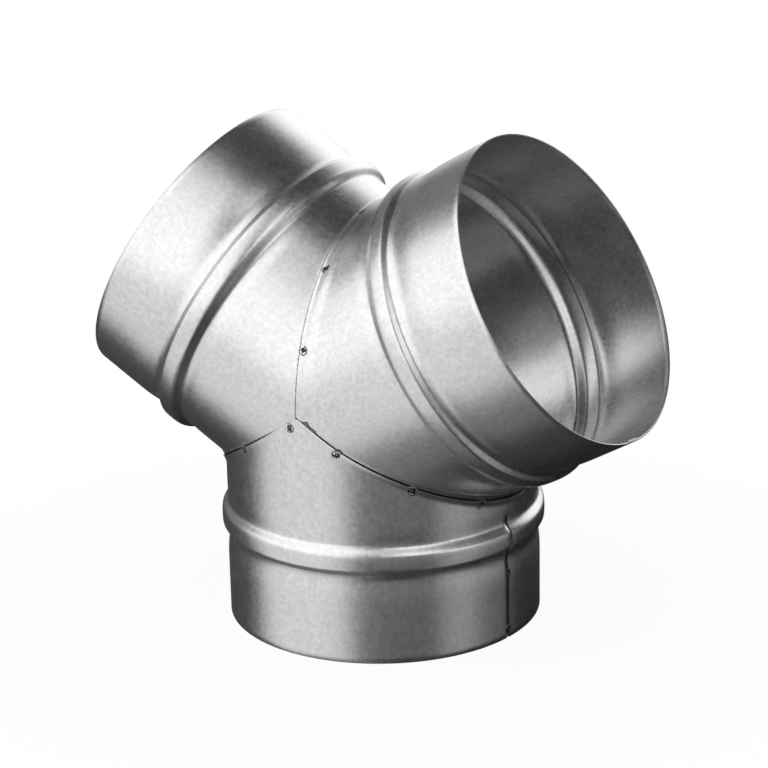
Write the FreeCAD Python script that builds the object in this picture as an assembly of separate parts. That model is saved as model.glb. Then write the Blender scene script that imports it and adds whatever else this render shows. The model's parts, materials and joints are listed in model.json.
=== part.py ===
import FreeCAD, Part
import math
import os

# Driving sizes, in millimetres and degrees
collar_radius = 74.7        # outside of the plain collar that a 150 mm duct slides over
sheet = 0.6                 # thickness of the galvanised sheet
trunk_length = 113.5        # crossing of the three axes to the trunk's rim
branch_length = 113.5       # crossing of the three axes to each branch's rim
branch_angle = 60.0         # lean of each branch from the upright
trunk_body_drop = 0.6       # how much smaller the trunk's body is than its collar, in radius
nest_clearance = 0.05       # space between two sheets that lie on each other

# Stiffening bead behind each collar
bead_setback = 48.0         # rim to the middle of the bead
crest_rise = 2.2            # top of the bead above the collar
crest_flat = 2.4            # straight stretch along the top
crest_radius = 2.6
groove_depth = 2.1          # bottom of the groove on each side of the bead
groove_offset = 6.6         # middle of the bead to the middle of a groove
groove_radius = 1.8
shoulder_offset = 10.4      # middle of the bead to the foot of its shoulder
shoulder_radius = 2.0

# Lapped mitre seams between the arms
flange_width = 6.5          # part of the inner sheet that is turned in under the outer one
band_width = 7.5            # part of the right branch that is raised to go over the left one
corner_gap = 0.8            # room left where all three sheets meet

# Lapped seam along each arm
lap_angle = 8.9             # from the heel of the arm towards the front
slit_width = 0.4            # gap at the edge of the outer sheet
lap_width = 7.5             # stretch of the inner edge that lies under the outer one
lap_root = 3.0              # stretch where the inner edge is still joined to the wall

# Spot welds
weld_radius = 2.5
weld_sink = 0.08            # rim of the mark under the face of the sheet
dish_depth = 0.35           # middle of the mark under its rim
trunk_weld_inset = 1.4      # middle of a weld to the trunk's mitred edge
branch_weld_inset = 2.8     # middle of a weld to the right branch's upper edge
trunk_right_first = 15.0    # first weld of a seam, in degrees round from the front
trunk_right_last = 172.0
trunk_right_count = 7
trunk_left_first = 27.5
trunk_left_last = 152.5
trunk_left_count = 6
branch_seam_first = 22.0
branch_seam_last = 158.0
branch_seam_count = 6
apex_turn = 3.0             # weld beside the point where the three sheets meet
rim_weld_inset = 4.2        # last weld of a lengthwise seam to the rim
lap_weld_pitch = 28.0       # spacing of the welds on a lengthwise seam
lap_weld_count = 2

# Sizes that follow
trunk_body_radius = collar_radius - trunk_body_drop
lap_step = sheet + nest_clearance
branch_body_radius = trunk_body_radius - lap_step
weld_depth = sheet + lap_step
dish_radius = (weld_radius ** 2 + dish_depth ** 2) / (2 * dish_depth)
crossing = FreeCAD.Vector(0, 0, trunk_length)
reach = 10 * collar_radius  # well past the whole fitting
same_point = 1e-6
FRONT = FreeCAD.Vector(0, -1, 0)
SIDEWAYS = FreeCAD.Vector(1, 0, 0)


def heading(lean):
    """Unit vector in the plane of the three axes, leaning from straight up towards +X."""
    turn = math.radians(lean)
    return FreeCAD.Vector(math.sin(turn), 0, math.cos(turn))


TRUNK = heading(180.0)
LEFT = heading(-branch_angle)
RIGHT = heading(branch_angle)


def across(arm, towards):
    """Unit vector square to an arm's axis that points to the side of another arm."""
    side = towards - arm * arm.dot(towards)
    return side.normalize()


def mitre_normal(inner, outer):
    """Normal of the plane where two arms meet, pointing out of the first into the second."""
    normal = outer - inner
    return normal.normalize()


def placed(shape, arm, heel):
    """Carry a shape from its own frame, axis up and heel along X, to an arm of the branch."""
    third = arm.cross(heel)
    move = FreeCAD.Matrix(
        heel.x, third.x, arm.x, crossing.x,
        heel.y, third.y, arm.y, crossing.y,
        heel.z, third.z, arm.z, crossing.z,
        0, 0, 0, 1)
    shape.Placement = FreeCAD.Placement(move).multiply(shape.Placement)
    return shape


def slab(normal, start, stop):
    """Everything between two planes square to a normal, at distances from the crossing."""
    block = Part.makeBox(reach, reach, stop - start)
    block.translate(FreeCAD.Vector(-reach / 2, -reach / 2, start))
    turn = FreeCAD.Rotation(FreeCAD.Vector(0, 0, 1), normal)
    block.Placement = FreeCAD.Placement(crossing, turn).multiply(block.Placement)
    return block


def tube(arm, inner_radius, outer_radius, length):
    """Plain round wall about an arm's axis, running both ways from the crossing."""
    start = crossing - arm * length
    outer = Part.makeCylinder(outer_radius, 2 * length, start, arm)
    inner = Part.makeCylinder(inner_radius, 2 * length, start, arm)
    return outer.cut(inner)


def bead_circles(length, body_radius):
    """Circles that the wall's outside runs round: place along the arm, height and signed radius.

    A positive radius is a rounding that bulges outwards, and a negative one a hollow.
    """
    middle = length - bead_setback
    crest_height = collar_radius + crest_rise - crest_radius
    return [
        (middle - shoulder_offset, body_radius - shoulder_radius, shoulder_radius),
        (middle - groove_offset, body_radius - groove_depth + groove_radius, -groove_radius),
        (middle - crest_flat / 2, crest_height, crest_radius),
        (middle + crest_flat / 2, crest_height, crest_radius),
        (middle + groove_offset, collar_radius - groove_depth + groove_radius, -groove_radius),
        (middle + shoulder_offset, collar_radius - shoulder_radius, shoulder_radius),
    ]


def profile(length, body_radius, inset, start, stop):
    """Edges and end points of the wall's outline, a constant inset under its outside.

    The outline leaves each circle along the line that touches it and the next one, so that
    every curve is tangent to its neighbours and every inset of it is parallel.
    """
    circles = [(s, r, size - inset) for s, r, size in bead_circles(length, body_radius)]
    slopes = [0.0]
    for here, after in zip(circles, circles[1:]):
        run = after[0] - here[0]
        rise = after[1] - here[1]
        apart = math.hypot(run, rise)
        slopes.append(math.atan2(rise, run) - math.asin((here[2] - after[2]) / apart))
    slopes.append(0.0)
    first = FreeCAD.Vector(body_radius - inset, 0, start)
    last = FreeCAD.Vector(collar_radius - inset, 0, stop)
    edges = []
    here = first
    for (s, r, size), before, after in zip(circles, slopes, slopes[1:]):
        ends = [
            FreeCAD.Vector(r + size * math.cos(slope), 0, s - size * math.sin(slope))
            for slope in (before, (before + after) / 2, after)
        ]
        if here.distanceToPoint(ends[0]) > same_point:
            edges.append(Part.makeLine(here, ends[0]))
        edges.append(Part.Arc(*ends).toShape())
        here = ends[2]
    edges.append(Part.makeLine(here, last))
    return edges, first, last


def rolled(length, body_radius, outer_inset, inner_inset, start, stop, from_angle, turn):
    """Part of a beaded wall between two insets, rolled through an angle about its axis."""
    outer, outer_first, outer_last = profile(length, body_radius, outer_inset, start, stop)
    inner, inner_first, inner_last = profile(length, body_radius, inner_inset, start, stop)
    ends = [Part.makeLine(outer_last, inner_last), Part.makeLine(outer_first, inner_first)]
    wire = Part.Wire(Part.__sortEdges__(outer + inner + ends))
    axis = FreeCAD.Vector(0, 0, 1)
    centre = FreeCAD.Vector(0, 0, 0)
    face = Part.Face(wire)
    face.rotate(centre, axis, from_angle)
    return face.revolve(centre, axis, turn)


def degrees_of(width):
    """Angle that a width takes on the collar."""
    return math.degrees(width / collar_radius)


def heel_of(arm):
    """Side of an arm where its lengthwise seam lies, the side of its shortest line."""
    if arm is TRUNK:
        return SIDEWAYS
    return across(arm, TRUNK)


def front_sign(arm):
    """Sense about an arm's axis in which an angle from the heel goes to the front."""
    return 1.0 if arm.cross(heel_of(arm)).dot(FRONT) > 0 else -1.0


def rolled_sheet(arm, length, body_radius, lap_start):
    """One arm, rolled from a sheet whose front edge is tucked under its back edge at the heel."""
    sign = front_sign(arm)
    seam = sign * lap_angle
    slit = degrees_of(slit_width)
    wall = rolled(length, body_radius, 0, sheet, 0, length, seam + sign * slit, sign * (360 - slit))
    tongue_from = seam + sign * (slit + degrees_of(lap_root))
    tongue_turn = -sign * (slit + degrees_of(lap_root + lap_width))
    tongue = rolled(length, body_radius, lap_step, lap_step + sheet, lap_start, length,
                    tongue_from, tongue_turn)
    root = rolled(length, body_radius, sheet / 2, lap_step + sheet / 2, lap_start, length,
                  tongue_from, -sign * degrees_of(lap_root))
    return placed(wall.fuse([tongue, root]), arm, heel_of(arm))


class Weld:
    """Spot weld through two sheets, at a turn round an arm from the front towards a side."""

    def __init__(self, arm, radius, turn, along, side, neighbour=None):
        angle = math.radians(turn)
        self.arm = arm
        self.radius = radius
        self.neighbour = neighbour
        self.normal = FRONT * math.cos(angle) + side * math.sin(angle)
        self.point = crossing + arm * along + self.normal * radius

    def pin(self):
        """Round hole that the weld takes out of the sheets, no further than the mitre plane."""
        start = self.point + self.normal * sheet
        shape = Part.makeCylinder(weld_radius, weld_depth + 2 * sheet, start, self.normal * -1)
        if self.neighbour is None:
            return shape
        return shape.cut(slab(mitre_normal(self.arm, self.neighbour), 0, reach))

    def metal(self):
        """Fused metal that fills the hole, with the electrode's dish on the outside."""
        stack = tube(self.arm, self.radius - weld_depth, self.radius, reach / 2)
        lift = dish_radius - dish_depth - weld_sink
        dish = Part.makeSphere(dish_radius, self.point + self.normal * lift)
        return self.pin().common(stack).cut(dish)


def seam_welds(inner, outer, radius, inset, turns):
    """Welds along a mitre seam, at a constant distance from the outer sheet's edge."""
    normal = mitre_normal(outer, inner)
    side = across(outer, inner)
    welds = []
    for turn in turns:
        lean = radius * math.sin(math.radians(turn)) * side.dot(normal)
        along = (lean + inset) / -outer.dot(normal)
        welds.append(Weld(outer, radius, turn, along, side, inner))
    return welds


def lap_welds(arm, length):
    """Welds on the plain collar, over the edge of a lengthwise seam."""
    turn = 90.0 - lap_angle - degrees_of(slit_width / 2)
    places = [length - rim_weld_inset - index * lap_weld_pitch for index in range(lap_weld_count)]
    return [Weld(arm, collar_radius, turn, along, heel_of(arm)) for along in places]


def spread(first, last, count):
    """Evenly spaced angles from the first to the last."""
    return [first + (last - first) * index / (count - 1) for index in range(count)]


def inner_flange(inner, outer):
    """Edge of an inner sheet, turned in at the mitre to lie along the outer arm."""
    wall = tube(outer, branch_body_radius - sheet, branch_body_radius, reach / 2)
    side = across(outer, inner)
    half = slab(side, 0, reach)
    return wall.common(slab(mitre_normal(inner, outer), 0, flange_width)).common(half)


def mitred(shape, arm, others):
    """Cut an arm off at the planes where it meets the others."""
    for other in others:
        shape = shape.cut(slab(mitre_normal(arm, other), 0, reach))
    return shape


def make_trunk():
    """Lower arm, whose two mitred edges lie outside the branches."""
    wall = rolled_sheet(TRUNK, trunk_length, trunk_body_radius, lap_start_of_trunk())
    return mitred(wall, TRUNK, (LEFT, RIGHT))


def lap_start_of_trunk():
    """Height at which the tucked edge of the trunk begins, clear of the branch's flange."""
    normal = mitre_normal(TRUNK, RIGHT)
    heel_rise = trunk_body_radius * SIDEWAYS.dot(normal)
    return (heel_rise + flange_width + 2 * sheet) / -TRUNK.dot(normal)


def lap_start_of_branch():
    """Place at which the tucked edge of a branch begins, clear of the mitre."""
    normal = mitre_normal(RIGHT, TRUNK)
    heel_rise = branch_body_radius * heel_of(RIGHT).dot(normal)
    return (heel_rise + 2 * sheet) / -RIGHT.dot(normal)


def make_left():
    """Left branch, which lies inside both of its neighbours."""
    wall = rolled_sheet(LEFT, branch_length, branch_body_radius, lap_start_of_branch())
    body = mitred(wall, LEFT, (TRUNK, RIGHT))
    into_trunk = inner_flange(LEFT, TRUNK).cut(slab(SIDEWAYS, -corner_gap, reach))
    into_right = inner_flange(LEFT, RIGHT)
    into_right = into_right.cut(slab(mitre_normal(RIGHT, TRUNK), -corner_gap / 2, reach))
    return body.fuse([into_trunk, into_right])


def make_right():
    """Right branch, inside the trunk but raised along its upper edge to go over the left branch."""
    wall = rolled_sheet(RIGHT, branch_length, branch_body_radius, lap_start_of_branch())
    body = mitred(wall, RIGHT, (TRUNK,)).cut(slab(SIDEWAYS, -reach, band_width))
    raised = tube(RIGHT, branch_body_radius + nest_clearance, branch_body_radius + lap_step,
                  reach / 2)
    band = raised.common(slab(SIDEWAYS, 0, band_width + sheet))
    step = tube(RIGHT, branch_body_radius - sheet, branch_body_radius + lap_step, reach / 2)
    step = step.common(slab(SIDEWAYS, band_width, band_width + sheet))
    far_side = slab(RIGHT, -reach, 0)
    collar = band.fuse(step).cut(far_side)
    collar = collar.cut(slab(mitre_normal(RIGHT, TRUNK), -corner_gap, reach))
    into_trunk = inner_flange(RIGHT, TRUNK).cut(slab(SIDEWAYS, -reach, band_width + sheet))
    return body.fuse([collar, into_trunk])


def without(shape, welds):
    """Sheet with the holes that its welds fill."""
    return shape.cut([weld.pin() for weld in welds])


def group(welds):
    """The metal of several welds, as separate solids."""
    return Part.makeCompound([weld.metal() for weld in welds])


def main():
    trunk_right_turns = spread(trunk_right_first, trunk_right_last, trunk_right_count)
    trunk_left_turns = spread(trunk_left_first, trunk_left_last, trunk_left_count)
    trunk_left_turns += [apex_turn, 180 - apex_turn]
    branch_turns = spread(branch_seam_first, branch_seam_last, branch_seam_count)
    trunk_right = seam_welds(RIGHT, TRUNK, trunk_body_radius, trunk_weld_inset, trunk_right_turns)
    trunk_left = seam_welds(LEFT, TRUNK, trunk_body_radius, trunk_weld_inset, trunk_left_turns)
    branches = seam_welds(LEFT, RIGHT, trunk_body_radius, branch_weld_inset, branch_turns)
    trunk_lap = lap_welds(TRUNK, trunk_length)
    left_lap = lap_welds(LEFT, branch_length)
    right_lap = lap_welds(RIGHT, branch_length)

    parts = {
        "trunk": without(make_trunk(), trunk_right + trunk_left + trunk_lap),
        "left_branch": without(make_left(), trunk_left + branches + left_lap),
        "right_branch": without(make_right(), trunk_right + branches + right_lap),
        "trunk_seam_welds": group(trunk_right + trunk_left),
        "branch_seam_welds": group(branches),
        "trunk_lap_welds": group(trunk_lap),
        "left_lap_welds": group(left_lap),
        "right_lap_welds": group(right_lap),
    }
    os.makedirs("parts", exist_ok=True)
    for name, shape in parts.items():
        shape.exportStep("parts/" + name + ".step")
        print(name, "solids", len(shape.Solids), "valid", shape.isValid(), "mm3", round(shape.Volume, 1))


main()
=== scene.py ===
import json
import math
import bpy
import numpy as np
from mathutils import Matrix, Vector

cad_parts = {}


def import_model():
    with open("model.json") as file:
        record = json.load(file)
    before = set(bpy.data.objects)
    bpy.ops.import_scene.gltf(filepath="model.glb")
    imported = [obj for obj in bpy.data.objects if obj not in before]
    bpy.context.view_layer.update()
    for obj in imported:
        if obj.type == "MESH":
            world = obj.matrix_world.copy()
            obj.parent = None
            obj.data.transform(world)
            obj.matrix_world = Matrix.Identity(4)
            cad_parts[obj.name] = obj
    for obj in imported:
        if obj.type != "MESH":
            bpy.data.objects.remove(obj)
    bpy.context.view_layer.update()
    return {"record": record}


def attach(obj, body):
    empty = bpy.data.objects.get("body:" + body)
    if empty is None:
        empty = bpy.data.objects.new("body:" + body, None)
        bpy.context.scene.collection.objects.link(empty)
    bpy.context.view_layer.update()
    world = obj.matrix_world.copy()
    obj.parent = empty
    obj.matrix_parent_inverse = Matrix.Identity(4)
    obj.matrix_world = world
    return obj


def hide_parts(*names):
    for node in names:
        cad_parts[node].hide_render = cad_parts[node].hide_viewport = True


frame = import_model()

# Sizes in metres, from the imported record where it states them
MM = 0.001
MOUNTS = {mount["name"]: mount for mount in frame["record"]["mounts"]}
COLLAR_RADIUS = MOUNTS["trunk_spigot"]["dims"]["r_mm"] * MM
ARM_LENGTH = 113.5 * MM         # crossing of the three axes to each rim
SHEET = 0.6 * MM
NEST_CLEARANCE = 0.05 * MM      # space between sheets that lie on each other
LAP_STEP = SHEET + NEST_CLEARANCE
BODY_DROP = 0.6 * MM            # how much smaller the trunk's body is than its collar
TRUNK_BODY = COLLAR_RADIUS - BODY_DROP
BRANCH_BODY = TRUNK_BODY - LAP_STEP

# Bead behind each collar: millimetres from its middle, and slope of the outline in degrees
BODY_SIDE = np.array([
    (-15.0, 0), (-11.0, -6), (-8.0, 0), (-6.9, 20), (-5.8, 52), (-4.4, 50), (-2.8, 12),
    (-1.0, 3), (1.0, 0),
])
COLLAR_SIDE = np.array([
    (1.0, 0), (3.6, -4), (4.7, -47), (6.0, -47), (7.0, -16), (8.4, -13), (10.0, 0),
    (12.8, 8), (22.0, 0),
])
CREST_RISE = 2.3 * MM           # top of the bead above the collar
RIM_BEVEL = 0.3 * MM
TRUNK_BEAD = 63.4 * MM          # crossing to the middle of the bead
BRANCH_BEAD = 66.3 * MM

# Seams between the arms
MITRE_ANGLE = math.radians(30)
MITRE_SLOPE = math.tan(MITRE_ANGLE)
TRUNK_CREASE = 7.0 * MM         # bend to mitre plane, square to the fold
BRANCH_CREASE = 2.5 * MM
BEND_RADIUS = 3.0 * MM
APEX_RISE = 2.2 * MM            # tip of the trunk's sheet where the three sheets meet
APEX_WIDTH = math.sin(math.radians(12))
FLANGE = 6.5 * MM
FLANGE_START = 0.03             # sine of the turn at which a flange begins beside a corner
BAND = 3.4 * MM                 # raised band of the right branch over the left one
BAND_EASE = 5.0 * MM
BAND_END = (BAND + BAND_EASE) / BRANCH_BODY     # sine of the turn at which the band ends
CORNER_GAP = 0.55 * MM          # notch of the right sheet at the front corner
CORNER_HOLE = 1.5 * MM
CORNER_HOLE_MIDDLE = 1.8 * MM
CORNER_HOLE_WIDTH = 1.0 * MM
LIFT = 0.08 * MM                # how far an outer edge stands off
LIFT_WIDTH = 1.6 * MM
LIFT_ONSET = 40.0               # how fast the lift sets in beside a corner, per sine of the turn

# Lengthwise seam of each arm
LAP_TURN = math.radians(90 - 8.9)
TRUNK_LAP_START = 51.7 * MM     # crossing to the inner end of the seam's slit
BRANCH_LAP_START = 43.8 * MM
SLIT = 0.4 * MM
TONGUE = 7.5 * MM
LAP_EASE = 1.1 * MM
FADE = 3.0 * MM

# Spot welds: places in degrees round from the front, insets from the outer sheet's edge
TRUNK_RIGHT_WELDS = np.linspace(15, 172, 7)
TRUNK_LEFT_WELDS = np.linspace(27.5, 152.5, 6)
APEX_WELDS = np.array([3.0, 177.0])
BRANCH_WELDS = np.linspace(22, 158, 6)
TRUNK_WELD_INSET = 1.4 * MM / math.cos(MITRE_ANGLE)
BRANCH_WELD_INSET = 1.5 * MM / math.cos(MITRE_ANGLE)
APEX_WELD_INSET = 0.6 * MM
RIM_WELD_INSET = 4.2 * MM
LAP_WELD_PITCH = 28.0 * MM
WELD_RINGS = np.array([
    (0.2, 0.02), (0.4, 0.01), (0.7, -0.04), (0.9, -0.14), (1.1, -0.22), (1.3, -0.23),
    (1.5, -0.16), (1.7, -0.06), (1.9, 0.01), (2.1, 0.02), (2.3, 0.01), (2.5, -0.015),
    (2.4, -0.25), (0.2, -0.5),
]) * MM                         # radius and height of each ring, from the middle out and under
WELD_OVAL = 0.05                # shares of the radius that make a weld out of round
WELD_LOBES = 0.03
WELD_TILT = 0.03 * MM
TILT_FROM = 1.0 * MM            # rings past this radius tilt
PHASE = 6.0                     # largest starting angle of a weld's waves, in radians
WELD_HOLE = 1.4 * MM            # radius of the sheet's hole under a weld
PUCKER_DEPTH = 0.07 * MM        # dimple round a weld
PUCKER_RADIUS = 4.0 * MM

# Rolling waves of the sheet
WAVES = 9
WAVE_HEIGHT = 0.011 * MM
MOST_ROUND = 9                  # most waves round an arm
STEEPEST = 90.0                 # steepest wave along an arm, in radians per metre

# Mesh density
COLUMNS = 420
BEND_ROWS = 10
BEND_CROWDING = 1.5             # power that crowds the rows towards the mitre
BEND_REACH = 9.0 * MM
BEAD_MARGIN = 0.5 * MM
BODY_ROWS = 15
BEAD_STEPS = 3
TABLE_STEPS = 60
COLLAR_ROWS = 10
FLANGE_ROWS = 6
SPOKES = 28
NORMAL_STEP = 0.1 * MM

# Distance that stands for no edge near, and the frame's directions
FAR = 1.0
CROSSING = np.array([0.0, 0.0, ARM_LENGTH])
FRONT = np.array([0.0, -1.0, 0.0])
TRUNK = np.array([0.0, 0.0, -1.0])
RIGHT = np.array(MOUNTS["right_spigot"]["axis"])
LEFT = np.array(MOUNTS["left_spigot"]["axis"])


def unit(vector):
    """Vectors at length one."""
    return vector / np.linalg.norm(vector, axis=-1, keepdims=True)


def ease(t):
    """Smooth step from 0 to 1: 3 t squared less 2 t cubed."""
    t = np.clip(t, 0.0, 1.0)
    return t * t * (3.0 - 2.0 * t)


def profile(slopes, rise, count):
    """Places along one side of the bead and its heights, from so many steps in each stretch.

    The height is the running sum of the slope, scaled so that the side ends at this rise.
    """
    stretches = len(slopes) - 1
    steps = np.linspace(0, stretches, stretches * count + 1)
    places, degrees = (np.interp(steps, np.arange(stretches + 1), column) for column in slopes.T)
    slope = np.tan(np.radians(degrees))
    heights = np.append(0.0, np.cumsum(np.diff(places) * (slope[1:] + slope[:-1]) / 2))
    return places * MM, heights * rise / heights[-1]


def outline(body, middle, count):
    """Places along an arm and heights of its wall's outside, on both sides of the bead."""
    up, climb = profile(BODY_SIDE, COLLAR_RADIUS + CREST_RISE - body, count)
    down, fall = profile(COLLAR_SIDE, -CREST_RISE, count)
    return (middle + np.append(up, down[1:]),
            np.append(body + climb, COLLAR_RADIUS + CREST_RISE + fall[1:]))


class Arm:
    """One arm, rolled from sheet.

    A place on it is its turn, in radians from the front towards the heel, and its distance
    along the axis from the point where the three axes cross. A side is 1 on the heel's half of
    the turn and -1 on the other half.
    """

    def __init__(self, axis, towards, body, bead, lap_start, crease_behind, seed):
        self.axis = axis
        self.heel = unit(towards - axis * (axis @ towards))
        self.body = body                    # outside radius of the plain body
        self.bead = bead                    # distance of the bead's middle
        self.table = outline(body, bead, TABLE_STEPS)
        self.lap_start = lap_start          # distance at which the lengthwise slit begins
        self.crease_behind = crease_behind  # bend to mitre plane on side -1
        self.outer_edges = ()               # sides whose edge lies on top, a little lifted
        self.highlit_edges = ()                # sides whose edge gets a painted highlight line
        self.under_edges = ()               # sides under another sheet, with the spread of the painted seam shade
        self.band = False                   # whether it has the raised band
        self.welds = []                     # turn and distance of each weld hole
        rng = np.random.default_rng(seed)
        self.waves = np.column_stack([
            rng.integers(1, MOST_ROUND + 1, WAVES), rng.uniform(-STEEPEST, STEEPEST, WAVES),
            rng.uniform(0, 2 * math.pi, WAVES),
        ])

    def outward(self, turn):
        """Directions away from the axis."""
        return np.cos(turn)[..., None] * FRONT + np.sin(turn)[..., None] * self.heel

    def crease(self, turn):
        """Half the fold between two arms: its sine is half the sine of the turn."""
        return np.arcsin(0.5 * np.abs(np.sin(turn)))

    def reach(self, turn, half):
        """Distance of the crease from the corner, which keeps the sheets' flanges nested."""
        nested = (TRUNK_BODY - self.body) * np.tan(half / 2) / np.cos(half)
        crease = np.where(np.sin(turn) < 0, self.crease_behind, TRUNK_CREASE)
        return crease * np.tan(half) + nested

    def edge(self, turn):
        """Distance along the arm at which the flange past the crease meets the mitre plane."""
        half = self.crease(turn)
        height = self.body + self.reach(turn, half) * np.sin(half) * np.cos(half)
        return height * np.abs(np.sin(turn)) * MITRE_SLOPE

    def relief(self, turn, along):
        """Small departures of the sheet: rolling waves, lifted edges, dimples, band and lap.

        The waves are a sum of sines of turn and distance, a dimple is a bell curve of the
        distance from its weld, and the others are smooth steps.
        """
        count, pitch, phase = (column[:, None, None] for column in self.waves.T)
        rise = WAVE_HEIGHT * np.sin(count * turn + pitch * along + phase).sum(0)
        past = along - self.edge(turn)
        for side in self.outer_edges:
            near = ease(np.sin(turn) * side * LIFT_ONSET)
            rise = rise + LIFT * near * (1 - ease(past / LIFT_WIDTH))
        for weld_turn, weld_along in self.welds:
            gap = np.mod(turn - weld_turn + math.pi, 2 * math.pi) - math.pi
            away = np.hypot(gap * COLLAR_RADIUS, along - weld_along) / PUCKER_RADIUS
            rise = rise - PUCKER_DEPTH * np.exp(-away ** 2)
        if self.band:
            across = along * self.axis[0] + self.body * np.sin(turn) * self.heel[0]
            rise = rise + LAP_STEP * (1 - ease((across - BAND) / BAND_EASE))
        tucked = (turn - LAP_TURN - 2 * math.pi) * COLLAR_RADIUS + SLIT + LAP_EASE
        return rise - LAP_STEP * ease(tucked / LAP_EASE) * ease((along - self.lap_start) / FADE)

    def point(self, turn, along):
        """Points of the sheet's outside.

        The height is the outline's, plus b - sqrt(b b - t t) in the bend of radius b and a
        straight rise past it, where t is the distance into the bend, square to the crease.
        """
        half = self.crease(turn)
        square = np.cos(np.arctan(np.cos(turn) * MITRE_SLOPE))
        past = (along - self.body * np.abs(np.sin(turn)) * MITRE_SLOPE) * square
        into = np.maximum(self.reach(turn, half) + BEND_RADIUS * np.tan(half / 2) - past, 0)
        arc = np.minimum(into, BEND_RADIUS * np.sin(half))
        height = np.interp(along, *self.table) + self.relief(turn, along)
        height = height - RIM_BEVEL * np.clip((along - ARM_LENGTH) / RIM_BEVEL + 1, 0, 1)
        height = height + BEND_RADIUS - np.sqrt(BEND_RADIUS ** 2 - arc ** 2)
        height = height + (into - arc) * np.tan(half)
        return CROSSING + along[..., None] * self.axis + height[..., None] * self.outward(turn)

    def frame(self, turn, along):
        """Points and unit normals: the cross product of differences round and along the arm."""
        swing = NORMAL_STEP / self.body
        round_arm = self.point(turn + swing, along) - self.point(turn - swing, along)
        up_arm = self.point(turn, along + NORMAL_STEP) - self.point(turn, along - NORMAL_STEP)
        normal = unit(np.cross(round_arm, up_arm))
        facing = np.sign((normal * self.outward(turn)).sum(-1, keepdims=True))
        return self.point(turn, along), normal * facing


def mirrored(points, normals, plane):
    """Points and normals on the other side of a mitre plane through the crossing."""
    flip = np.eye(3) - 2 * np.outer(plane, plane)
    return (points - CROSSING) @ flip + CROSSING, normals @ flip


def put(name, data):
    """New object at the origin, in the scene."""
    thing = bpy.data.objects.new(name, data)
    bpy.context.collection.objects.link(thing)
    return thing


def mesh_object(name, vertices, faces, material_index, uv, edge_gaps, sharp, materials):
    """Mesh from arrays, with a UV map in metres and sharp edges given as pairs of vertices.

    edge_gaps holds two distances: from the edge of a sheet that lies over this one, which sets
    the painted seam shade, and from this sheet's own edge where it lies on top, which sets its
    painted highlight line.
    """
    mesh = bpy.data.meshes.new(name)
    mesh.from_pydata(vertices.tolist(), [], faces)
    for material in materials:
        mesh.materials.append(material)
    mesh.polygons.foreach_set("material_index", material_index)
    mesh.polygons.foreach_set("use_smooth", np.ones(len(mesh.polygons), bool))
    layer = mesh.uv_layers.new(name="sheet")
    corner = np.empty(len(mesh.loops), np.int32)
    mesh.loops.foreach_get("vertex_index", corner)
    layer.uv.foreach_set("vector", uv[corner].astype(np.float32).ravel())
    for title, values in zip(("shade_gap", "highlight_gap"), edge_gaps.T.astype(np.float32)):
        mesh.attributes.new(title, "FLOAT", "POINT").data.foreach_set("value", values)
    ends = np.empty(len(mesh.edges) * 2, np.int64)
    mesh.edges.foreach_get("vertices", ends)
    ends = np.sort(ends.reshape(-1, 2), axis=1)
    sharp = np.sort(sharp, axis=1)
    marked = np.isin(ends @ [len(vertices), 1], sharp @ [len(vertices), 1])
    flags = mesh.attributes.new("sharp_edge", "BOOLEAN", "EDGE")
    flags.data.foreach_set("value", marked)
    mesh.update()
    return put(name, mesh)


def shell(name, points, normals, uv, edge_gaps, keep, materials):
    """Closed sheet from a grid of its outside: the inside is one thickness under it.

    keep says which faces of the grid are there. No edge lies over the inside.
    """
    rows, columns = points.shape[:2]
    index = np.arange(rows * columns).reshape(rows, columns)
    quads = np.stack([index[:-1, :-1], index[:-1, 1:], index[1:, 1:], index[1:, :-1]], -1)[keep]
    outside = points.reshape(-1, 3)
    normals = normals.reshape(-1, 3)
    a, b, c, d = outside[quads].transpose(1, 0, 2)
    if (np.cross(c - a, d - b) * normals[quads[:, 0]]).sum() < 0:
        quads = quads[:, ::-1]
    used, packed = np.unique(quads, return_inverse=True)
    quads = packed.reshape(-1, 4)
    count = len(used)
    outside = outside[used]
    vertices = np.concatenate([outside, outside - normals[used] * SHEET])
    starts = quads.ravel()
    ends = np.roll(quads, -1, axis=1).ravel()
    open_edge = ~np.isin(starts * count + ends, ends * count + starts)
    starts, ends = starts[open_edge], ends[open_edge]
    rims = np.column_stack([ends, starts, starts + count, ends + count])
    faces = np.concatenate([quads, quads[:, ::-1] + count, rims])
    slots = np.repeat([0, 1, 2], [len(quads), len(quads), len(rims)]).astype(np.int32)
    sharp = np.concatenate([rims[:, :2], rims[:, 2:]])
    uv = np.tile(uv.reshape(-1, 2)[used], (2, 1))
    edge_gaps = edge_gaps.reshape(-1, 2)[used]
    edge_gaps = np.concatenate([edge_gaps, np.full_like(edge_gaps, FAR)])
    return mesh_object(name, vertices, faces.tolist(), slots, uv, edge_gaps, sharp, materials)


def grid_rows(arm, edge):
    """Distances along the arm, a column for each turn: bend, body, bead, collar and rim."""
    bead = outline(arm.body, arm.bead, BEAD_STEPS)[0]
    bend = np.linspace(0, 1, BEND_ROWS) ** BEND_CROWDING
    share = np.linspace(0, 1, BODY_ROWS + 1)[1:-1]
    start = np.minimum(edge + BEND_REACH, bead[0] - BEAD_MARGIN)
    collar = np.linspace(bead[-1], ARM_LENGTH - RIM_BEVEL, COLLAR_ROWS + 1)[1:]
    return np.concatenate([
        edge + (start - edge) * bend[:, None],
        start + (bead[0] - start) * share[:, None],
        np.tile(bead[:, None], len(edge)),
        np.tile(np.append(collar, ARM_LENGTH)[:, None], len(edge)),
    ])


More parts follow.
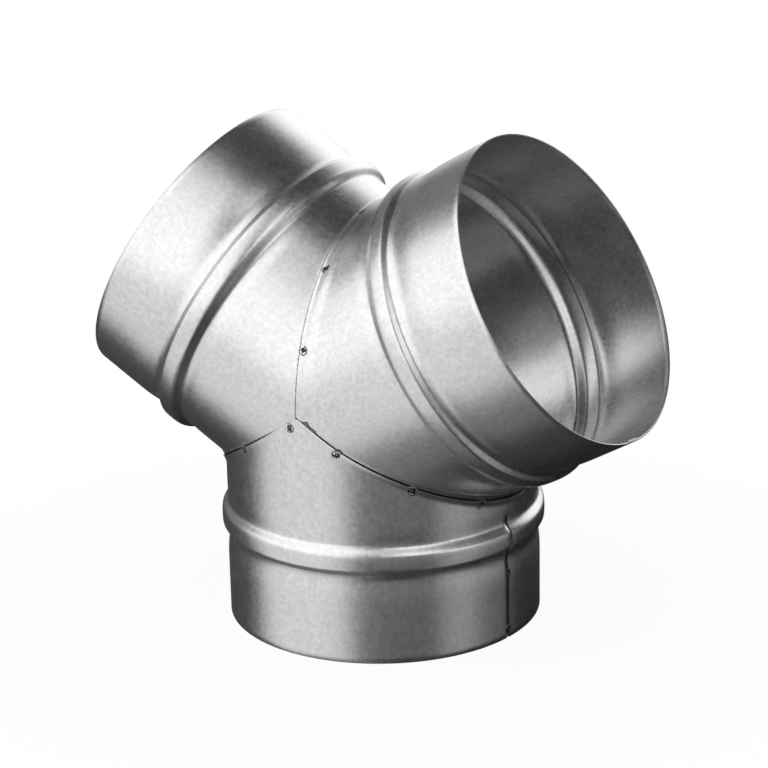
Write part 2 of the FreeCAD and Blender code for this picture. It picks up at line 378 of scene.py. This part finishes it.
def gaps_to_edges(arm, turns, along, edge):
    """Distances from a covering sheet's edge (painted shade) and from the arm's own edge (painted
    highlight).
    """
    # painted shade along the lap seam, beside the outer edge that covers the tongue
    shade_gap = np.abs(LAP_TURN + 2 * math.pi - turns) * COLLAR_RADIUS
    for side, spread in arm.under_edges:
        here = np.sin(turns) * side > 0
        shade_gap = np.where(here, np.minimum(shade_gap, (along - edge) / spread), shade_gap)
    highlight_gap = np.full(along.shape, FAR)
    for side in arm.highlit_edges:
        highlight_gap = np.where(np.sin(turns) * side > 0, along - edge, highlight_gap)
    return np.stack([shade_gap, highlight_gap], -1)


def sheet_faces(arm, turns, along, on_tongue):
    """Faces of the grid that are there: the tongue begins at the slit, welds have holes."""
    keep = ~(on_tongue & (along[:-1, :-1] < arm.lap_start + FADE / 3))
    middle_turn = (turns[:-1, :-1] + turns[1:, 1:]) / 2
    middle_along = (along[:-1, :-1] + along[1:, 1:]) / 2
    for weld_turn, weld_along in arm.welds:
        near = np.hypot((middle_turn - weld_turn) * COLLAR_RADIUS, middle_along - weld_along)
        keep &= near > WELD_HOLE
    return keep


def flange_grid(arm, turn, edge, flanges, on_tongue):
    """Points, normals, UV, edge distances and faces of the rows before the mitre.

    They are the mirror image, in the mitre plane, of the first rows after it.
    """
    rows = np.linspace(FLANGE, 0, FLANGE_ROWS + 1)[:-1, None] + edge
    turns = np.broadcast_to(turn, rows.shape)
    body_points, body_normals = arm.frame(turns, rows)
    points = np.zeros_like(body_points)
    normals = np.zeros_like(body_normals)
    there = np.zeros(turn.shape, bool)
    for side, plane, first_sine in flanges:
        here = np.sin(turn) * side > 0
        mirror = mirrored(body_points[:, here], body_normals[:, here], plane)
        points[:, here], normals[:, here] = mirror
        there |= np.sin(turn) * side > first_sine
    faces = there[:-1] & there[1:] & ~on_tongue
    faces &= np.sign(np.sin(turn[:-1])) == np.sign(np.sin(turn[1:]))
    uv = np.stack([turns * COLLAR_RADIUS, 2 * edge - rows], -1)
    # flanges lie under another sheet: painted seam shade all over them
    covered = np.broadcast_to([0.0, FAR], uv.shape)
    return points, normals, uv, covered, np.tile(faces, (FLANGE_ROWS, 1))


def sheet_piece(name, arm, flanges, notch, materials):
    """One arm's sheet: a spiral of columns from the back edge of its lap round to its tongue.

    flanges lists (side, plane, first sine of the turn) for each mitre where the sheet is turned
    in. notch gives how far the sheet's edge stays back from its mitre at a turn.
    """
    turn_all = 2 * math.pi + (TONGUE - SLIT) / COLLAR_RADIUS
    turn = LAP_TURN + SLIT / 2 / COLLAR_RADIUS + np.linspace(0, turn_all, COLUMNS + 1)
    on_tongue = turn[:-1] > LAP_TURN + 2 * math.pi - SLIT / COLLAR_RADIUS
    edge = arm.edge(turn) + notch(turn)
    along = grid_rows(arm, edge)
    turns = np.broadcast_to(turn, along.shape)
    uv = np.stack([turns * COLLAR_RADIUS, along], -1)
    grid = (*arm.frame(turns, along), uv, gaps_to_edges(arm, turns, along, edge),
            sheet_faces(arm, turns, along, on_tongue))
    if flanges:
        before = flange_grid(arm, turn, edge, flanges, on_tongue)
        grid = [np.concatenate(pair) for pair in zip(before, grid)]
    return shell(name, *grid, materials)


def weld_piece(name, arm, spots, seed, materials):
    """Spot welds as discs of revolution laid on the sheet, each a little out of round.

    A ring's radius is multiplied by one plus a sine of twice the angle and one of three times
    it, and the outer rings' heights follow a sine of the angle, so that each weld is tilted.
    """
    rng = np.random.default_rng(seed)
    rings = len(WELD_RINGS)
    spoke = np.linspace(0, 2 * math.pi, SPOKES, endpoint=False)
    ring = np.arange(rings)[:, None] * SPOKES
    step = np.arange(SPOKES)
    after = (step + 1) % SPOKES
    quads = np.stack([ring[:-1] + step, ring[:-1] + after, ring[1:] + after, ring[1:] + step], -1)
    quads = quads.reshape(-1, 4)
    vertices, faces, uvs = [], [], []
    for number, (turn, along) in enumerate(spots):
        oval = WELD_OVAL * np.sin(2 * spoke + rng.uniform(0, PHASE))
        lobes = WELD_LOBES * np.sin(3 * spoke + rng.uniform(0, PHASE))
        out = WELD_RINGS[:, :1] * (1 + oval + lobes)
        u, v = out * np.cos(spoke), out * np.sin(spoke)
        base, normal = arm.frame(turn + u / COLLAR_RADIUS, along + v)
        tilt = WELD_TILT * np.sin(spoke + rng.uniform(0, PHASE)) * (out > TILT_FROM)
        height = WELD_RINGS[:, 1:] + tilt
        vertices.append((base + normal * height[..., None]).reshape(-1, 3))
        shift = number * rings * SPOKES
        faces += (quads + shift).tolist()
        faces += [(step[::-1] + shift).tolist(), (step + shift + (rings - 1) * SPOKES).tolist()]
        uvs.append(np.stack([u, v], -1).reshape(-1, 2))
    vertices = np.concatenate(vertices)
    first = vertices[:rings * SPOKES].reshape(rings, SPOKES, 3)
    turning = np.cross(first[0, 1] - first[0, 0], first[1, 0] - first[0, 0])
    top = first[0].mean(0) - first[-1].mean(0)
    if turning @ top > 0:
        faces = [face[::-1] for face in faces]
    slots = np.zeros(len(faces), np.int32)
    return mesh_object(name, vertices, faces, slots, np.concatenate(uvs),
                       np.full((len(vertices), 2), FAR), np.zeros((1, 2), np.int64), materials)


class Signal:
    """A shader socket that takes part in plain arithmetic through Math nodes."""

    def __init__(self, tree, socket):
        self.tree = tree
        self.socket = socket

    def math(self, operation, *values):
        """Math node on these values, which may be numbers or signals."""
        node = self.tree.node("ShaderNodeMath", dict(enumerate(values)), operation=operation)
        return Signal(self.tree, node.outputs[0])

    def __add__(self, other):
        return self.math("ADD", self, other)

    __radd__ = __add__

    def __sub__(self, other):
        return self.math("SUBTRACT", self, other)

    def __rsub__(self, other):
        return self.math("SUBTRACT", other, self)

    def __mul__(self, other):
        return self.math("MULTIPLY", self, other)

    __rmul__ = __mul__

    def __truediv__(self, other):
        return self.math("DIVIDE", self, other)

    def __rtruediv__(self, other):
        return self.math("DIVIDE", other, self)

    def __abs__(self):
        return self.math("ABSOLUTE", self)

    def clamped(self, low=0.0, high=1.0):
        """The value, held between two others."""
        return self.math("MINIMUM", self.math("MAXIMUM", self, low), high)

    def swing(self, amount):
        """A noise's departure from its middle of one half, times this amount."""
        return (self - 0.5) * amount


class Tree:
    """Node tree that is built by calls."""

    def __init__(self, tree):
        self.tree = tree
        tree.nodes.clear()

    def node(self, kind, inputs=None, **settings):
        """New node with these settings, and with values or links at its inputs."""
        node = self.tree.nodes.new(kind)
        for key, value in settings.items():
            setattr(node, key, value)
        for key, value in (inputs or {}).items():
            if isinstance(value, Signal):
                self.tree.links.new(value.socket, node.inputs[key])
            else:
                node.inputs[key].default_value = value
        return node

    def signal(self, node, output=0):
        """Signal of one of a node's outputs."""
        return Signal(self, node.outputs[output])

    def noise(self, place, scale, detail=2.0, rough=0.5):
        """Noise from 0 to 1, with features about one over scale metres wide."""
        node = self.node("ShaderNodeTexNoise", {
            "Vector": place, "Scale": scale, "Detail": detail, "Roughness": rough})
        return self.signal(node, "Fac")

    def length(self, place):
        """Length of a vector."""
        node = self.node("ShaderNodeVectorMath", {0: place}, operation="LENGTH")
        return self.signal(node, "Value")

    def blend(self, factor, low, high):
        """Colour between two others."""
        node = self.node("ShaderNodeMix", {0: factor, 6: low, 7: high}, data_type="RGBA")
        return self.signal(node, 2)

    def beside(self, attribute, grain, ragged, reach, border):
        """1 within reach of an edge, falling to 0 over the border, in ragged millimetres."""
        gap = self.signal(self.node("ShaderNodeAttribute", attribute_name=attribute), "Fac")
        return 1.0 - ((gap * (1 / MM) + grain.swing(ragged) - reach) / border).clamped()

    def seen(self):
        """1 for what the camera, metal or glass sees, and 0 for other light."""
        path = self.node("ShaderNodeLightPath")
        return (self.signal(path, "Is Camera Ray") + self.signal(path, "Is Glossy Ray")
                + self.signal(path, "Is Transmission Ray")).clamped()


def new_material(name):
    """New material and its empty node tree."""
    material = bpy.data.materials.new(name)
    material.use_nodes = True
    return material, Tree(material.node_tree)


def metal(tree, base, roughness, height, depth):
    """Metal surface with a bump of this height, and this depth in metres for a height of 1."""
    bump = tree.node("ShaderNodeBump", {"Strength": 1.0, "Distance": depth, "Height": height})
    shader = tree.node("ShaderNodeBsdfPrincipled", {
        "Base Color": base, "Metallic": 1.0, "Roughness": roughness,
        "Normal": tree.signal(bump)})
    tree.node("ShaderNodeOutputMaterial", {"Surface": tree.signal(shader)})


# Colours of the metals, each from dark to light
OUTSIDE_ZINC = (0.52, 0.525, 0.53, 1), (0.72, 0.725, 0.73, 1)
# painted shade: the sheet's inside is a darker copy of the outside's zinc, for the shade inside
# the duct
INSIDE_ZINC_SHADED = (0.42, 0.425, 0.43, 1), (0.66, 0.66, 0.665, 1)
CUT_STEEL = (0.30, 0.30, 0.31, 1), (0.62, 0.62, 0.63, 1)
BURNT_STEEL = (0.03, 0.03, 0.032, 1), (0.62, 0.625, 0.63, 1)
# painted shade: near black in the gap beside a covering sheet's edge, along the lap and on
# flanges under it
PAINTED_SEAM_SHADE = (0.02, 0.02, 0.02, 1)
# painted shade on the cut edges in the seams
PAINTED_CUT_SHADE = (0.06, 0.06, 0.06, 1)
# painted highlight: near-white line along a top sheet's own edge at the seam
PAINTED_EDGE_HIGHLIGHT = (0.97, 0.97, 0.97, 1)
STREAKS = (1100.0, 60.0, 1.0)   # rolling marks per metre, round and along the arm
BRIGHT_BEAD = 5.0               # millimetres of cut edge kept at the steel's own colour on each side of a bead, out of the painted shade
BRIGHT_RIM = 2.0 * MM
RING_RADIUS = 1.25              # middle of a weld's burnt ring, in millimetres
RING_BORDER = 0.9
RING_WIDTH = 0.75               # half the burnt ring's width, in borders


def galvanised(name, dark, light):
    """Zinc-coated sheet: fine even mottle, faint rolling marks, painted shade beside a covering
    sheet's edge and a painted highlight line along its own top edge.
    """
    material, tree = new_material(name)
    coordinates = tree.node("ShaderNodeTexCoord")
    place = tree.signal(coordinates, "Object")
    sheet = tree.signal(coordinates, "UV")
    mottle = tree.noise(place, scale=480.0, detail=2.0, rough=0.55).clamped(0.34, 0.70)
    fine = tree.noise(place, scale=1900.0, detail=1.0)
    cloud = tree.noise(place, scale=30.0, detail=3.0, rough=0.6)
    stretched = tree.node("ShaderNodeMapping", {"Vector": sheet, "Scale": STREAKS})
    streak = tree.noise(tree.signal(stretched), scale=1.0)
    # painted shade in the gap beside a covering sheet's edge, which is also made rougher
    seam_shade = tree.beside("shade_gap", fine, ragged=0.8, reach=0.35, border=0.55)
    # painted highlight along the sheet's own edge where it lies on top
    edge_highlight = tree.beside("highlight_gap", fine, ragged=0.5, reach=0.3, border=0.3)
    tone = (0.5 + mottle.swing(1.6) + fine.swing(0.6) + streak.swing(0.6)
            + cloud.swing(0.5)).clamped()
    clean = tree.blend(edge_highlight, tree.blend(tone, dark, light), PAINTED_EDGE_HIGHLIGHT)
    base = tree.blend(seam_shade, clean, PAINTED_SEAM_SHADE)
    roughness = 0.30 + mottle.swing(0.14) + cloud.swing(0.06) + seam_shade * 0.3
    height = mottle * 0.72 + fine * 0.03 + streak * 0.25
    metal(tree, base, roughness, height, depth=0.03 * MM)
    return material


def cut_edge():
    """Sheared edge of the sheet: its own steel colour at the rims and beads, and painted shade
    elsewhere for the dark gap lines of the seams.
    """
    material, tree = new_material("cut_edge")
    coordinates = tree.node("ShaderNodeTexCoord")
    grain = tree.noise(tree.signal(coordinates, "Object"), scale=1800.0, rough=0.6)
    parts = tree.node("ShaderNodeSeparateXYZ", {"Vector": tree.signal(coordinates, "UV")})
    along = tree.signal(parts, "Y")
    bead = 1.0 - (abs(along - TRUNK_BEAD) / MM - BRIGHT_BEAD).clamped()
    # painted seam shade on the cut edge, except at the rims and beads
    unshaded = ((along - (ARM_LENGTH - BRIGHT_RIM)) / MM).clamped() + bead
    base = tree.blend(unshaded, PAINTED_CUT_SHADE, tree.blend(grain, *CUT_STEEL))
    metal(tree, base, 0.30 + grain * 0.12, grain, depth=0.01 * MM)
    return material


def weld_metal():
    """Spot weld: a dull, burnt ring between a brighter middle and a brighter rim."""
    material, tree = new_material("weld_metal")
    coordinates = tree.node("ShaderNodeTexCoord")
    place = tree.signal(coordinates, "Object")
    radius = tree.length(tree.signal(coordinates, "UV"))
    grain = tree.noise(place, scale=1500.0, detail=4.0, rough=0.7)
    blotch = tree.noise(place, scale=700.0, detail=1.0)
    out = radius * (1 / MM) + grain.swing(0.9) + blotch.swing(2.2)
    bright = (abs(out - RING_RADIUS) / RING_BORDER - RING_WIDTH).clamped()
    tone = (bright * 0.85 + grain.swing(0.4)).clamped()
    roughness = 0.52 - bright * 0.2 + grain.swing(0.15)
    metal(tree, tree.blend(tone, *BURNT_STEEL), roughness, grain, depth=0.04 * MM)
    return material


def build_arms():
    """The three arms, and how their edges lie at the seams."""
    trunk = Arm(TRUNK, RIGHT, TRUNK_BODY, TRUNK_BEAD, TRUNK_LAP_START, TRUNK_CREASE, 3)
    left = Arm(LEFT, TRUNK, BRANCH_BODY, BRANCH_BEAD, BRANCH_LAP_START, BRANCH_CREASE, 5)
    right = Arm(RIGHT, TRUNK, BRANCH_BODY, BRANCH_BEAD, BRANCH_LAP_START, BRANCH_CREASE, 8)
    trunk.outer_edges = (1, -1)
    right.outer_edges = (-1,)
    # the trunk's edge over the right branch gets the painted highlight line
    trunk.highlit_edges = (1,)
    right.under_edges = ((1, 1.0),)
    left.under_edges = ((1, 2.0), (-1, 1.6))
    right.band = True
    return trunk, left, right


def seam_spots(arm, degrees, side, inset):
    """Welds along a mitre, at distances inside the edge of the outer sheet."""
    turns = np.radians(degrees)
    alongs = arm.edge(turns) + inset
    unrolled = LAP_TURN + np.mod(side * turns - LAP_TURN, 2 * math.pi)
    return list(zip(unrolled, alongs))


def lap_spots():
    """Two welds on the plain collar, over the edge of the lengthwise seam."""
    first = ARM_LENGTH - RIM_WELD_INSET
    return [(LAP_TURN, first), (LAP_TURN, first - LAP_WELD_PITCH)]


def no_notch(turn):
    """Edge that follows its mitre."""
    return np.zeros_like(turn)


def corner_tip(turn):
    """Trunk's raised tip at each corner: a bell curve of the sine of the turn."""
    return -APEX_RISE * np.exp(-(np.sin(turn) / APEX_WIDTH) ** 2)


def corner_notch(turn):
    """Right sheet's notch over the trunk's tip at the front corner.

    It is a gap with a bell curve beside the corner, less the way up the seam.
    """
    up_seam = np.maximum(-np.sin(turn), 0) * BRANCH_BODY * 2 * MITRE_SLOPE
    aside = (np.sin(turn) * BRANCH_BODY - CORNER_HOLE_MIDDLE) / CORNER_HOLE_WIDTH
    gap = CORNER_GAP + CORNER_HOLE * np.exp(-aside ** 2)
    notch = np.maximum(gap - corner_tip(turn) - up_seam, 0)
    return np.where((np.sin(turn) < BAND_END) & (np.cos(turn) > 0), notch, 0)


def build_object():
    """Every piece, riding on the body and standing for its CAD node."""
    trunk, left, right = build_arms()
    trunk_seams = (
        seam_spots(trunk, TRUNK_RIGHT_WELDS, 1, TRUNK_WELD_INSET)
        + seam_spots(trunk, TRUNK_LEFT_WELDS, -1, TRUNK_WELD_INSET)
        + seam_spots(trunk, APEX_WELDS, -1, APEX_WELD_INSET))
    branch_seams = seam_spots(right, BRANCH_WELDS, -1, BRANCH_WELD_INSET)
    laps = lap_spots()
    trunk.welds = trunk_seams + laps
    right.welds = branch_seams + laps
    left.welds = laps
    sheet = [galvanised("galvanised_outside", *OUTSIDE_ZINC),
             galvanised("galvanised_inside", *INSIDE_ZINC_SHADED), cut_edge()]
    corner = 0.0
    left_flanges = [(1, unit(TRUNK - LEFT), FLANGE_START), (-1, unit(RIGHT - LEFT), corner)]
    right_flanges = [(1, unit(TRUNK - RIGHT), BAND_END)]
    pieces = [
        ("trunk", "galvanised_sheet",
         sheet_piece("trunk_sheet", trunk, [], corner_tip, sheet)),
        ("left_branch", "galvanised_sheet",
         sheet_piece("left_sheet", left, left_flanges, no_notch, sheet)),
        ("right_branch", "galvanised_sheet",
         sheet_piece("right_sheet", right, right_flanges, corner_notch, sheet)),
    ]
    fused = [weld_metal()]
    welds = [
        ("trunk_seam_welds", trunk, trunk_seams),
        ("branch_seam_welds", right, branch_seams),
        ("trunk_lap_welds", trunk, laps),
        ("left_lap_welds", left, laps),
        ("right_lap_welds", right, laps),
    ]
    for seed, (node, arm, spots) in enumerate(welds, start=11):
        marks = weld_piece(node.replace("welds", "weld_marks"), arm, spots, seed, fused)
        pieces.append((node, "weld_metal", marks))
    for node, slot, piece in pieces:
        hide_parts(node)
        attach(piece, "root")


# Tent of light, in degrees and metres. A window or shade is (azimuth, elevation, half width,
# half height, brightness or depth). Azimuth is 0 towards the front and grows to the right.
ROOM = 0.042                    # level between the windows
WINDOWS = [
    (-35, 34, 46, 38, 1.58),
    (-32, -27, 37, 21, 0.95),
    (34, -2, 24, 26, 0.17),
    (56, 42, 22, 22, 1.55),
    (84, 11, 15, 10, 1.2),
    (100, -12, 30, 28, 0.38),
    (-176, 18, 34, 22, 1.6),
    (5, 74, 35, 10, 0.7),
    (-116, 24, 26, 27, 0.16),
    (-20, -66, 40, 14, 0.18),
]
SHADES = [
    (160, -40, 60, 24, 0.75),
    (-78, 4, 12, 10, 0.8),
]
BORDER = 22.0                   # width of a window's soft border
TENT_RADIUS = 4.0
TENT_COLUMNS = 144
TENT_ROWS = 73
TENT_POLE = 89.5                # elevation of the last row, closed by one face

# Floor, world and lamps
FLOOR_HALF = 3.0
FLOOR_GREY = (0.82, 0.82, 0.82, 1)
FLOOR_WHITE = 0.93              # share of white near the part, where the shadow shows
SHADOW_REACH = 0.10             # distance from the middle at which the white sets in
SHADOW_FADE = 0.20              # stretch over which it becomes full
WHITE = (1, 1, 1, 1)
AMBIENT = 0.6                   # world's level for matt surfaces
LAMPS = [                       # name, azimuth, elevation, distance, size and power
    ("key", -35, 45, 1.6, 1.2, 9.0),
    ("fill", 75, 35, 1.8, 1.2, 4.0),
]

# Camera: direction from the target, roll, distance and target offsets to the right and up
CAMERA_AZIMUTH = 30.97
CAMERA_ELEVATION = 18.35
CAMERA_ROLL = -1.23
CAMERA_DISTANCE = 15.943 * COLLAR_RADIUS
TARGET_RIGHT = 0.021 * COLLAR_RADIUS
TARGET_UP = -0.043 * COLLAR_RADIUS
LENS = 118.54
SENSOR = 36.0


def direction(azimuth, elevation):
    """Unit vectors towards these azimuths and elevations, in degrees."""
    a, e = np.radians(azimuth), np.radians(elevation)
    return np.stack([np.sin(a) * np.cos(e), -np.cos(a) * np.cos(e), np.sin(e)], -1)


def window(azimuth, elevation, middle_azimuth, middle_elevation, half_width, half_height):
    """Rectangle in azimuth and elevation: 1 inside, a smooth step to 0 over its border."""
    off = np.abs(np.mod(azimuth - middle_azimuth + 180, 360) - 180)
    up = np.abs(elevation - middle_elevation)
    sideways = ease((half_width + BORDER / 2 - off) / BORDER)
    return sideways * ease((half_height + BORDER / 2 - up) / BORDER)


def tent():
    """Glowing sphere round the object, seen only in its reflections."""
    azimuth, elevation = np.meshgrid(np.linspace(-180, 180, TENT_COLUMNS, endpoint=False),
                                     np.linspace(-TENT_POLE, TENT_POLE, TENT_ROWS))
    points = TENT_RADIUS * direction(azimuth, elevation) + CROSSING
    index = np.arange(TENT_COLUMNS * TENT_ROWS).reshape(TENT_ROWS, TENT_COLUMNS)
    right_of = np.roll(index, -1, axis=1)
    quads = np.stack([index[:-1], index[1:], right_of[1:], right_of[:-1]], -1).reshape(-1, 4)
    faces = quads.tolist() + [index[0].tolist(), index[-1][::-1].tolist()]
    glow = np.full(azimuth.shape, ROOM)
    for *place, brightness in WINDOWS:
        glow = glow + brightness * window(azimuth, elevation, *place)
    for *place, depth in SHADES:
        glow = glow * (1 - depth * window(azimuth, elevation, *place))
    mesh = bpy.data.meshes.new("tent")
    mesh.from_pydata(points.reshape(-1, 3).tolist(), [], faces)
    mesh.attributes.new("glow", "FLOAT", "POINT").data.foreach_set(
        "value", glow.astype(np.float32).ravel())
    material, tree = new_material("tent")
    level = tree.signal(tree.node("ShaderNodeAttribute", attribute_name="glow"), "Fac")
    shine = tree.node("ShaderNodeEmission", {"Color": WHITE, "Strength": level})
    tree.node("ShaderNodeOutputMaterial", {"Surface": tree.signal(shine)})
    material.cycles.emission_sampling = "NONE"
    mesh.materials.append(material)
    thing = put("tent", mesh)
    thing.visible_camera = False
    thing.visible_diffuse = False
    thing.visible_transmission = False
    thing.visible_volume_scatter = False
    thing.visible_shadow = False


def floor():
    """Pale floor: it takes the part's shadow near it and goes over to white further out."""
    half = FLOOR_HALF
    mesh = bpy.data.meshes.new("floor")
    mesh.from_pydata([(-half, -half, 0), (half, -half, 0), (half, half, 0), (-half, half, 0)],
                     [], [(0, 1, 2, 3)])
    material, tree = new_material("floor")
    place = tree.signal(tree.node("ShaderNodeTexCoord"), "Object")
    far = ((tree.length(place) - SHADOW_REACH) / SHADOW_FADE).clamped()
    matt = tree.node("ShaderNodeBsdfDiffuse", {"Color": FLOOR_GREY})
    white = tree.node("ShaderNodeEmission", {"Color": WHITE, "Strength": 1.0})
    mix = tree.node("ShaderNodeMixShader", {
        0: tree.seen() * (FLOOR_WHITE + far * (1 - FLOOR_WHITE)),
        1: tree.signal(matt), 2: tree.signal(white)})
    tree.node("ShaderNodeOutputMaterial", {"Surface": tree.signal(mix)})
    mesh.materials.append(material)
    thing = put("floor", mesh)
    thing.visible_glossy = False


def world():
    """White for what the camera and the metal see, and a plain level of light elsewhere."""
    scene_world = bpy.data.worlds.new("studio")
    scene_world.use_nodes = True
    tree = Tree(scene_world.node_tree)
    back = tree.node("ShaderNodeBackground", {
        "Color": WHITE, "Strength": AMBIENT + tree.seen() * (1 - AMBIENT)})
    tree.node("ShaderNodeOutputWorld", {"Surface": tree.signal(back)})
    bpy.context.scene.world = scene_world


def lamp(name, azimuth, elevation, distance, size, power):
    """Soft area lamp that looks at the crossing of the arms."""
    light = bpy.data.lights.new(name, "AREA")
    light.shape = "SQUARE"
    light.size = size
    light.energy = power
    away = Vector(direction(azimuth, elevation))
    thing = put(name, light)
    thing.location = Vector(CROSSING) + away * distance
    thing.rotation_euler = away.to_track_quat("Z", "Y").to_euler()
    thing.visible_glossy = False


def camera():
    """Camera at the photograph's angle."""
    turn, roll = math.radians(CAMERA_AZIMUTH), math.radians(CAMERA_ROLL)
    back = direction(CAMERA_AZIMUTH, CAMERA_ELEVATION)
    flat = np.array([math.cos(turn), math.sin(turn), 0.0])
    upward = np.cross(back, flat)
    right = math.cos(roll) * flat + math.sin(roll) * upward
    up = math.cos(roll) * upward - math.sin(roll) * flat
    place = CROSSING + TARGET_RIGHT * right + TARGET_UP * up + CAMERA_DISTANCE * back
    data = bpy.data.cameras.new("camera")
    data.lens = LENS
    data.sensor_width = SENSOR
    thing = put("camera", data)
    facing = Matrix(np.column_stack([right, up, back]).tolist()).to_4x4()
    thing.matrix_world = Matrix.Translation(Vector(place)) @ facing
    bpy.context.scene.camera = thing


build_object()
tent()
floor()
world()
for lamp_values in LAMPS:
    lamp(*lamp_values)
camera()
bpy.context.scene.view_settings.view_transform = "Standard"
